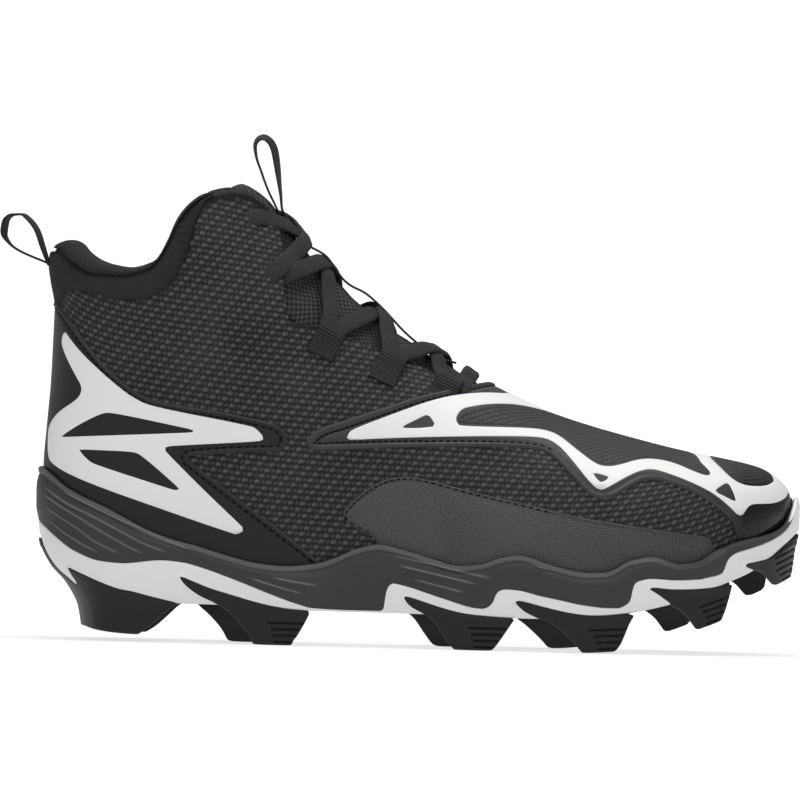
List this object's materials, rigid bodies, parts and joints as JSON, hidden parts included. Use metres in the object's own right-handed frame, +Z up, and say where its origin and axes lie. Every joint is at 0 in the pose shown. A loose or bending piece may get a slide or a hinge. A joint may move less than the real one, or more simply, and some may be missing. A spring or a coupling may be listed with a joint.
{
  "type": "moulded mid-cut field cleat",
  "caption": "Right-foot mid-cut cleat with a hollow laced upper, padded collar, ribbed cup midsole and moulded rubber studs.",
  "frame": {"origin": "middle of the shoe's box, on the floor under its studs", "axes": "+X towards the toe, +Y towards the medial side, +Z up"},
  "size_m": [0.3158, 0.1045, 0.1985],
  "materials": {
    "coarse_mesh": "coarse woven mesh",
    "smooth_skin": "satin film",
    "fine_skin": "fine grid synthetic",
    "knit": "matte knit",
    "webbing": "woven webbing",
    "lace": "flat woven lace",
    "midsole_foam": "moulded foam, ribbed",
    "white_rubber": "matte",
    "black_rubber": "satin, ribbed"
  },
  "bodies": {
    "root": {"upper": "coarse_mesh", "heel_counter": "smooth_skin", "vamp_overlay": "smooth_skin", "side_panel_lateral": "fine_skin", "side_panel_medial": "fine_skin", "collar": "knit", "tongue": "knit", "insole": "knit", "heel_loop": "webbing", "tongue_strap": "webbing", "lace_loop_lateral_1": "webbing", "lace_loop_lateral_2": "webbing", "lace_loop_lateral_3": "webbing", "lace_loop_medial_1": "webbing", "lace_loop_medial_2": "webbing", "lace_loop_medial_3": "webbing", "lace_bar": "lace", "lace_cross_1": "lace", "lace_cross_2": "lace", "lace_cross_3": "lace", "lace_cross_4": "lace", "midsole": "midsole_foam", "outsole_plate": "white_rubber", "stud_lateral_1": "black_rubber", "stud_lateral_2": "black_rubber", "stud_lateral_3": "black_rubber", "stud_lateral_4": "black_rubber", "stud_lateral_5": "black_rubber", "stud_lateral_6": "black_rubber", "stud_medial_1": "black_rubber", "stud_medial_2": "black_rubber", "stud_medial_3": "black_rubber", "stud_medial_4": "black_rubber", "stud_medial_5": "black_rubber", "stud_medial_6": "black_rubber"}
  },
  "joints": []
}
